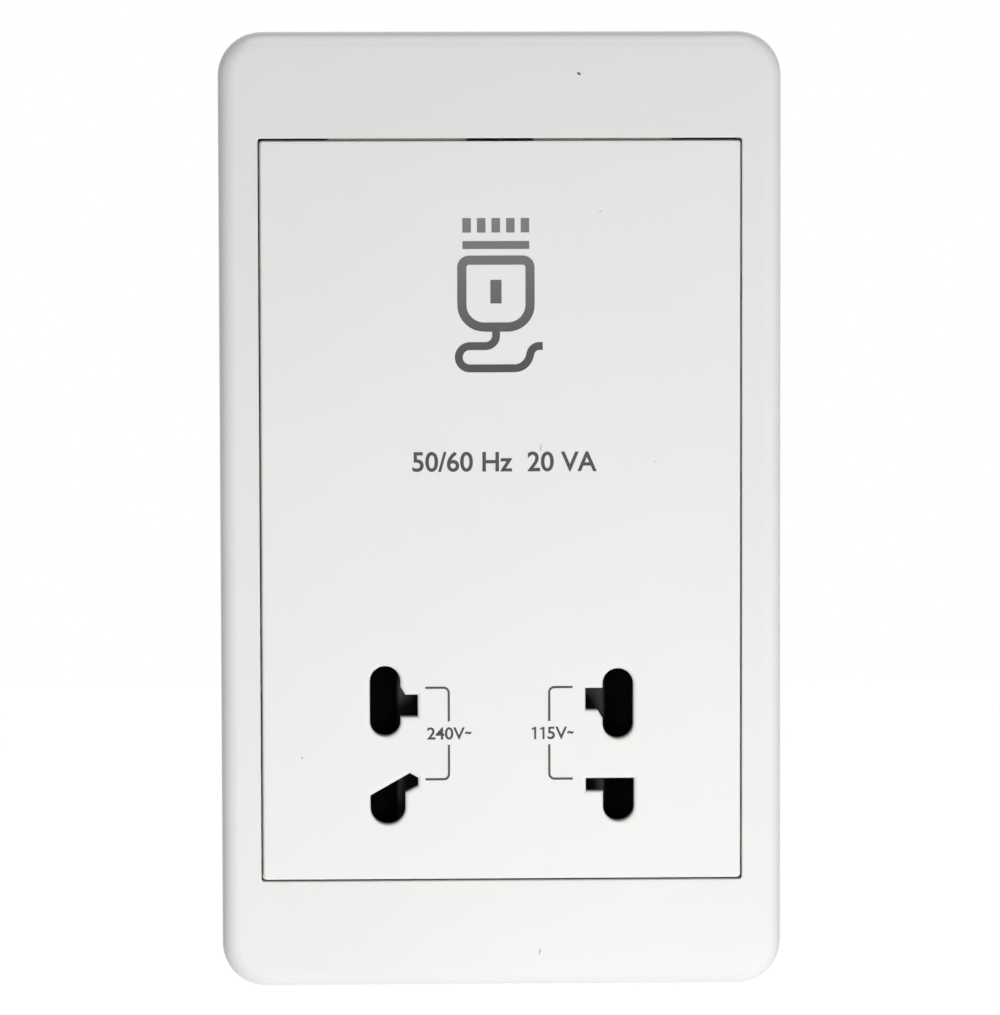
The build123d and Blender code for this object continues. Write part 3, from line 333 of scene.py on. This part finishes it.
inkStyle = {"thickness": 0.00004, "proud": 0.00003, "turnStep": 9, "letterWeight": 0.016, "letterCurve": 6,
            "edgeSlack": 0.01, "weld": 0.02}      # the last two are shares of a stroke's width
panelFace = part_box("front_panel")[0].y


def facesUp(piece):
    bpy.ops.object.mode_set(mode="OBJECT")
    up = piece.data.polygons[0].normal.z > 0
    bpy.ops.object.mode_set(mode="EDIT")
    return up


def selectFarEdge(piece, pen, forward, width):
    # Only the edge that the pen stands on, square to its way, is left selected
    mesh = piece.data
    for vertex in mesh.vertices:
        away = vertex.co - pen
        vertex.select = abs(away.dot(forward)) < width * inkStyle["edgeSlack"] and away.length < width
    for edge in mesh.edges:
        edge.select = all(mesh.vertices[i].select for i in edge.vertices)
    for face in mesh.polygons:
        face.select = False


def inkStroke(name, width, start, heading, path):
    # Drawn like a pen: ("run", length) goes straight, ("turn", degrees, radius) turns left, or right below 0
    pen = Vector((*start, 0))
    forward = Vector((cos(radians(heading)), sin(radians(heading)), 0))
    first = path[0][1]
    deselectAll()
    middle = pen + forward * first / 2
    bpy.ops.mesh.primitive_plane_add(size=1, location=middle, rotation=(0, 0, radians(heading)))
    piece = bpy.context.active_object
    piece.name = name
    piece.scale = (first, width, 1)
    settle(piece)
    pen = pen + forward * first
    selectFarEdge(piece, pen, forward, width)
    bpy.ops.object.mode_set(mode="EDIT")
    bpy.ops.mesh.select_mode(type="EDGE")
    for kind, amount, *radius in path[1:]:
        if kind == "run":
            bpy.ops.mesh.extrude_region_move(TRANSFORM_OT_translate={"value": forward * amount})
            pen = pen + forward * amount
            continue
        way = 1 if amount > 0 else -1
        centre = pen + Vector((-forward.y, forward.x, 0)) * radius[0] * way
        steps = max(2, round(abs(amount) / inkStyle["turnStep"]))
        bpy.ops.mesh.spin(steps=steps, angle=-radians(amount), center=centre, axis=(0, 0, 1))
        turn = Matrix.Rotation(radians(amount), 3, "Z")
        pen = centre + turn @ (pen - centre)
        forward = turn @ forward
    bpy.ops.mesh.select_all(action="SELECT")
    bpy.ops.mesh.remove_doubles(threshold=width * inkStyle["weld"])
    bpy.ops.mesh.normals_make_consistent(inside=False)
    if piece.data.polygons and not facesUp(piece):
        bpy.ops.mesh.flip_normals()
    bpy.ops.object.mode_set(mode="OBJECT")
    return piece


def inkWords(words, left, right, low, high):
    # Words set to fill the space from left to right and from low to high
    deselectAll()
    bpy.ops.object.text_add(location=(0, 0, 0))
    piece = bpy.context.active_object
    piece.name = "words"
    piece.data.body = words
    piece.data.resolution_u = inkStyle["letterCurve"]
    piece.data.offset = inkStyle["letterWeight"]
    bpy.ops.object.convert(target="MESH")
    piece = bpy.context.active_object
    xs = [v.co.x for v in piece.data.vertices]
    ys = [v.co.y for v in piece.data.vertices]
    scale = Vector(((right - left) / (max(xs) - min(xs)), (high - low) / (max(ys) - min(ys)), 1))
    piece.scale = scale
    piece.location = (left - min(xs) * scale.x, low - min(ys) * scale.y, 0)
    settle(piece)
    return piece


def standUp(pieces, name, spec):
    # Joins flat pieces, stands them on a face and gives them their thickness behind it
    piece = joinPieces(pieces, name)
    piece.rotation_euler = (pi / 2, 0, spec.get("turn", 0))
    piece.location = (0, spec["face"], 0)
    settle(piece)
    solidify = piece.modifiers.new("thickness", "SOLIDIFY")
    solidify.thickness = spec["thickness"]
    solidify.offset = -1
    applyModifiers(piece)
    wear(piece, bpy.data.materials[spec["finish"]])
    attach(piece, "base")


def printOnPanel(pieces, name, finish):
    standUp(pieces, name, {
        "face": panelFace - inkStyle["proud"], "thickness": inkStyle["thickness"],
        "finish": finish, "slot": "white_panel"})


greyInk = {
    "low": (0.058, 0.058, 0.057), "high": (0.058, 0.058, 0.057), "span": (-0.045, 0.01), "mottle": 0.0003,
    "bare": 0.06, "under": (0.45, 0.45, 0.44), "roughness": (0.4, 0.55), "depth": 3e-6,
}
signInk = dict(greyInk, low=(0.060, 0.060, 0.059), high=(0.200, 0.200, 0.196), span=(0.024, 0.0448))
printingInk("greyPrint", greyInk)
printingInk("signPrint", signInk)

# Voltage marks, each with a bracket to its pair of apertures
voltageMarks = {
    "lineWidth": 0.00034, "corner": 0.0008, "arm": 0.0036, "gapHigh": -0.0322, "gapLow": -0.0358,
    "high": -0.0270, "low": -0.0411, "wordLow": -0.0350, "wordHigh": -0.0331,
    "word240": (-0.01144, -0.00565), "upright240": -0.0081,
    "word115": (0.00462, 0.01002), "upright115": 0.0073,
}
sineSign = {"width": 0.00030, "radius": 0.00022, "turn": 95, "rise": 60, "end": 0.00012, "middle": 0.00010,
            "space": 0.00010, "height": -0.03412}
oneSign = {"width": 0.00032, "flag": 0.00040, "slope": 28, "pitch": 0.00128, "fiveAfter": 0.00240,
           "flagWidth": 0.8, "flagDrop": 0.6}      # the last two are shares of the upright's width


def sineStroke(wordEnd):
    s = sineSign
    return inkStroke("sine", s["width"], (wordEnd + s["space"], s["height"]), s["rise"], (
        ("run", s["end"]), ("turn", -s["turn"], s["radius"]), ("run", s["middle"]),
        ("turn", s["turn"], s["radius"]), ("run", s["end"])))


def oneStrokes(left):
    # The figure 1, with its flag from the upright's left side
    o, m = oneSign, voltageMarks
    upright = left + o["flag"] * cos(radians(o["slope"])) + o["width"] / 2
    flagStart = (upright - o["width"] / 2, m["wordHigh"] - o["width"] * o["flagDrop"])
    return [
        inkStroke("one", o["width"], (upright, m["wordLow"]), 90, (("run", m["wordHigh"] - m["wordLow"]),)),
        inkStroke("one", o["width"] * o["flagWidth"], flagStart, 180 + o["slope"], (("run", o["flag"]),)),
    ]


def voltageBracket(upright, way):
    # way is 1 where the arms reach left to the apertures and -1 where they reach right
    m = voltageMarks
    straight = m["arm"] - m["corner"]
    rise = m["high"] - m["corner"] - m["gapHigh"]
    fall = m["gapLow"] - m["low"] - m["corner"]
    across = 0 if way > 0 else 180
    start = upright - way * m["arm"]
    upper = inkStroke("bracket", m["lineWidth"], (start, m["high"]), across, (
        ("run", straight), ("turn", -90 * way, m["corner"]), ("run", rise)))
    lower = inkStroke("bracket", m["lineWidth"], (start, m["low"]), across, (
        ("run", straight), ("turn", 90 * way, m["corner"]), ("run", fall)))
    return [upper, lower]


def print240():
    m = voltageMarks
    left, right = m["word240"]
    marks = [inkWords("240V", left, right, m["wordLow"], m["wordHigh"]), sineStroke(right)]
    printOnPanel(marks + voltageBracket(m["upright240"], 1), "print_240v", "greyPrint")


def print115():
    m = voltageMarks
    left, right = m["word115"]
    marks = [inkWords("5V", left + oneSign["fiveAfter"], right, m["wordLow"], m["wordHigh"])]
    for x in (left, left + oneSign["pitch"]):
        marks += oneStrokes(x)
    marks.append(sineStroke(right))
    printOnPanel(marks + voltageBracket(m["upright115"], -1), "print_115v", "greyPrint")


print240()
print115()

# Rating line across the middle of the panel
ratingLine = {
    "words": "50/60 Hz  20 VA", "left": -0.01355, "right": 0.01465, "low": 0.0061, "high": 0.0092,
}
printOnPanel([inkWords(**ratingLine)], "print_rating", "greyPrint")

# Shaver sign: an upright shaver with its foil, switch and cord
shaverSign = {
    "stroke": 0.00140, "cord": 0.00120, "middle": -0.0007,
    "halfWidth": 0.0052, "low": 0.0282, "high": 0.0384,
    "lowCorner": 0.0034, "highCorner": 0.0011, "neck": 0.0407, "neckStroke": 0.0012,
    "foilLow": 0.0426, "foilHigh": 0.0448, "foilCount": 5, "foilPitch": 0.00222, "foilWidth": 0.00130,
    "switchWidth": 0.0017, "switchLow": 0.0318, "switchLength": 0.0036,
    "cordPath": (       # from the body's foot it turns left, runs low to the right and rises again
        ("run", 0.0006), ("turn", -90, 0.0016), ("run", 0.0024), ("turn", 180, 0.0017), ("run", 0.0068),
        ("turn", 75, 0.0024), ("run", 0.0006), ("turn", -75, 0.0014), ("run", 0.0005)),
}


def shaverStrokes():
    s = shaverSign
    side = s["high"] - s["low"] - s["lowCorner"] - s["highCorner"]
    base = s["halfWidth"] - s["lowCorner"]
    top = 2 * (s["halfWidth"] - s["highCorner"])
    body = inkStroke("sign", s["stroke"], (s["middle"], s["low"]), 0, (
        ("run", base), ("turn", 90, s["lowCorner"]), ("run", side), ("turn", 90, s["highCorner"]),
        ("run", top),
        ("turn", 90, s["highCorner"]), ("run", side), ("turn", 90, s["lowCorner"]), ("run", base)))
    reach = s["foilPitch"] * (s["foilCount"] - 1) / 2 + s["foilWidth"] / 2
    neck = inkStroke("sign", s["neckStroke"], (s["middle"] - reach, s["neck"]), 0, (("run", 2 * reach),))
    tooth = (("run", s["foilHigh"] - s["foilLow"]),)
    foils = []
    for index in range(s["foilCount"]):
        x = s["middle"] + (index - (s["foilCount"] - 1) / 2) * s["foilPitch"]
        foils.append(inkStroke("sign", s["foilWidth"], (x, s["foilLow"]), 90, tooth))
    switchStart = (s["middle"], s["switchLow"])
    switch = inkStroke("sign", s["switchWidth"], switchStart, 90, (("run", s["switchLength"]),))
    cord = inkStroke("sign", s["cord"], (s["middle"], s["low"] - s["stroke"] / 2), -90, s["cordPath"])
    return [body, neck, *foils, switch, cord]


printOnPanel(shaverStrokes(), "print_shaver_sign", "signPrint")
print("print laid on the panel")


# Thin ledges on the window's top wall. They show grey in the gap, and leave it open for a driver's tip

gapLedge = {
    "slotHalf": 0.0051, "end": 0.0262, "gap": 0.00045, "step": 0.00015,      # step: how far the wall lies in
    "clear": 0.00006, "sunk": 0.00005, "behindFace": 0.0015, "thickness": 0.0004,
}


def layLedges():
    g = gapLedge
    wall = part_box("front_panel")[1].z + g["gap"] - g["step"]
    high, low = wall + g["sunk"], wall - g["gap"] + g["clear"] + g["step"]
    strips = [
        inkStroke("ledge", high - low, (start, (high + low) / 2), 0, (("run", g["end"] - g["slotHalf"]),))
        for start in (-g["end"], g["slotHalf"])]
    standUp(strips, "gap_ledges", {
        "face": panelFace + g["behindFace"], "thickness": g["thickness"],
        "finish": "whiteFrame", "slot": "white_frame"})


layLedges()
print("ledges set in the gap")


# Terminal marks, standing a little proud of the block's back

terminalMarks = {
    "height": 0.0024, "low": -0.0478, "relief": 0.00025, "sunk": 0.00005, "line": 0.0003, "liveHalf": 0.0006,
    "neutralHalf": 0.0008, "earthHalves": (0.0011, 0.0007, 0.0003), "earthPitch": 0.00048,
}


def earthStrokes(x):
    t = terminalMarks
    strokes = [inkStroke("mark", t["line"], (x, t["low"] + t["height"]), -90, (("run", t["height"] / 2),))]
    for step, half in enumerate(t["earthHalves"]):
        level = t["low"] + t["height"] / 2 - step * t["earthPitch"]
        strokes.append(inkStroke("mark", t["line"], (x - half, level), 0, (("run", 2 * half),)))
    return strokes


def markBlock():
    t = terminalMarks
    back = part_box("terminal_block")[1].y
    boxes = [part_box("terminal_" + name) for name in ("live", "neutral", "earth")]
    # Seen from behind, X runs the other way
    live, neutral, earth = (-(low.x + high.x) / 2 for low, high in boxes)
    top = t["low"] + t["height"]
    pieces = [
        inkWords("L", live - t["liveHalf"], live + t["liveHalf"], t["low"], top),
        inkWords("N", neutral - t["neutralHalf"], neutral + t["neutralHalf"], t["low"], top),
        *earthStrokes(earth),
    ]
    standUp(pieces, "terminal_marks", {
        "turn": pi, "face": back + t["relief"], "thickness": t["relief"] + t["sunk"],
        "finish": "blockWhite", "slot": "terminal_moulding"})


markBlock()
print("terminal block marked")


# Studio: pale floor, soft lights and a white background

studio = {
    "skyLevel": 0.06, "floorLevel": -0.42, "floorSize": 8.0, "floorColour": (0.80, 0.80, 0.79),
    "floorRoughness": 0.8, "whiteShare": 0.75, "whiteLevel": 1.32,     # the last two lift the floor to white
    "overhead": {"place": (0.00, -0.45, 1.00), "size": 1.00, "power": 5.6, "gloss": True},
    "key": {"place": (1.60, -0.45, 0.10), "size": 0.22, "power": 3.3, "gloss": False},
    "fill": {"place": (0.07, -0.40, -0.20), "size": 0.16, "power": 1.43, "gloss": False},
    "back": {"place": (-0.70, 1.40, 0.30), "size": 0.50, "power": 18, "gloss": False},
}
shotCamera = {
    "place": (-0.0207, -0.7739, 0.0487), "yaw": -0.0269, "pitch": -0.0629, "roll": 0.0026,
    "focalPixels": 5003, "sensor": 36, "longSide": 1015, "nearClip": 0.01, "farClip": 20,
}


def softLight(name, spec):
    place = Vector(spec["place"])
    aim = (-place).to_track_quat("-Z", "Y").to_euler()
    bpy.ops.object.light_add(type="AREA", location=place, rotation=aim)
    lamp = bpy.context.active_object
    lamp.name = name
    lamp.data.shape = "SQUARE"
    lamp.data.size = spec["size"]
    lamp.data.energy = spec["power"]
    lamp.visible_glossy = spec["gloss"]    # without it, a lamp leaves no hot spot in the plate's gloss
    lamp.visible_camera = False


def seenRay(tree):
    # 1 where the ray comes from the camera or through gloss or glass
    path = tree.nodes.new("ShaderNodeLightPath")
    total = path.outputs["Is Camera Ray"]
    for other in ("Is Glossy Ray", "Is Transmission Ray"):
        larger = tree.nodes.new("ShaderNodeMath")
        larger.operation = "MAXIMUM"
        tree.links.new(total, larger.inputs[0])
        tree.links.new(path.outputs[other], larger.inputs[1])
        total = larger.outputs[0]
    return total


def makeWorld():
    world = bpy.data.worlds.new("studioWorld")
    bpy.context.scene.world = world
    world.use_nodes = True
    tree = world.node_tree
    background = tree.nodes["Background"]
    background.inputs["Strength"].default_value = 1.0
    level = studio["skyLevel"]
    colour = mixTint(tree, seenRay(tree), (level, level, level), (1, 1, 1))
    tree.links.new(colour, background.inputs["Color"])


def makeFloor():
    deselectAll()
    bpy.ops.mesh.primitive_plane_add(size=studio["floorSize"], location=(0, 0, studio["floorLevel"]))
    floor = bpy.context.active_object
    floor.name = "floor"
    settle(floor)
    material = bpy.data.materials.new("paleFloor")
    material.use_nodes = True
    tree = material.node_tree
    shader = tree.nodes["Principled BSDF"]
    shader.inputs["Base Color"].default_value = (*studio["floorColour"], 1)
    shader.inputs["Roughness"].default_value = studio["floorRoughness"]
    shader.inputs["Specular IOR Level"].default_value = 0.0
    white = tree.nodes.new("ShaderNodeEmission")
    white.inputs["Strength"].default_value = studio["whiteLevel"]
    share = tree.nodes.new("ShaderNodeMath")
    share.operation = "MULTIPLY"
    share.inputs[1].default_value = studio["whiteShare"]
    mix = tree.nodes.new("ShaderNodeMixShader")
    tree.links.new(seenRay(tree), share.inputs[0])
    tree.links.new(share.outputs[0], mix.inputs["Fac"])
    tree.links.new(shader.outputs["BSDF"], mix.inputs[1])
    tree.links.new(white.outputs["Emission"], mix.inputs[2])
    tree.links.new(mix.outputs["Shader"], tree.nodes["Material Output"].inputs["Surface"])
    wear(floor, material)


def makeCamera():
    c = shotCamera
    bpy.ops.object.camera_add()
    camera = bpy.context.active_object
    pan, lean = Matrix.Rotation(c["yaw"], 4, "Z"), Matrix.Rotation(pi / 2 + c["pitch"], 4, "X")
    camera.matrix_world = Matrix.Translation(c["place"]) @ pan @ lean @ Matrix.Rotation(-c["roll"], 4, "Z")
    camera.data.sensor_width = c["sensor"]
    camera.data.lens = c["focalPixels"] * c["sensor"] / c["longSide"]
    camera.data.clip_start = c["nearClip"]
    camera.data.clip_end = c["farClip"]
    bpy.context.scene.camera = camera


makeWorld()
makeFloor()
for name in ("overhead", "key", "fill", "back"):
    softLight(name + "Light", studio[name])
makeCamera()
bpy.context.scene.view_settings.view_transform = "Standard"
print("studio ready")
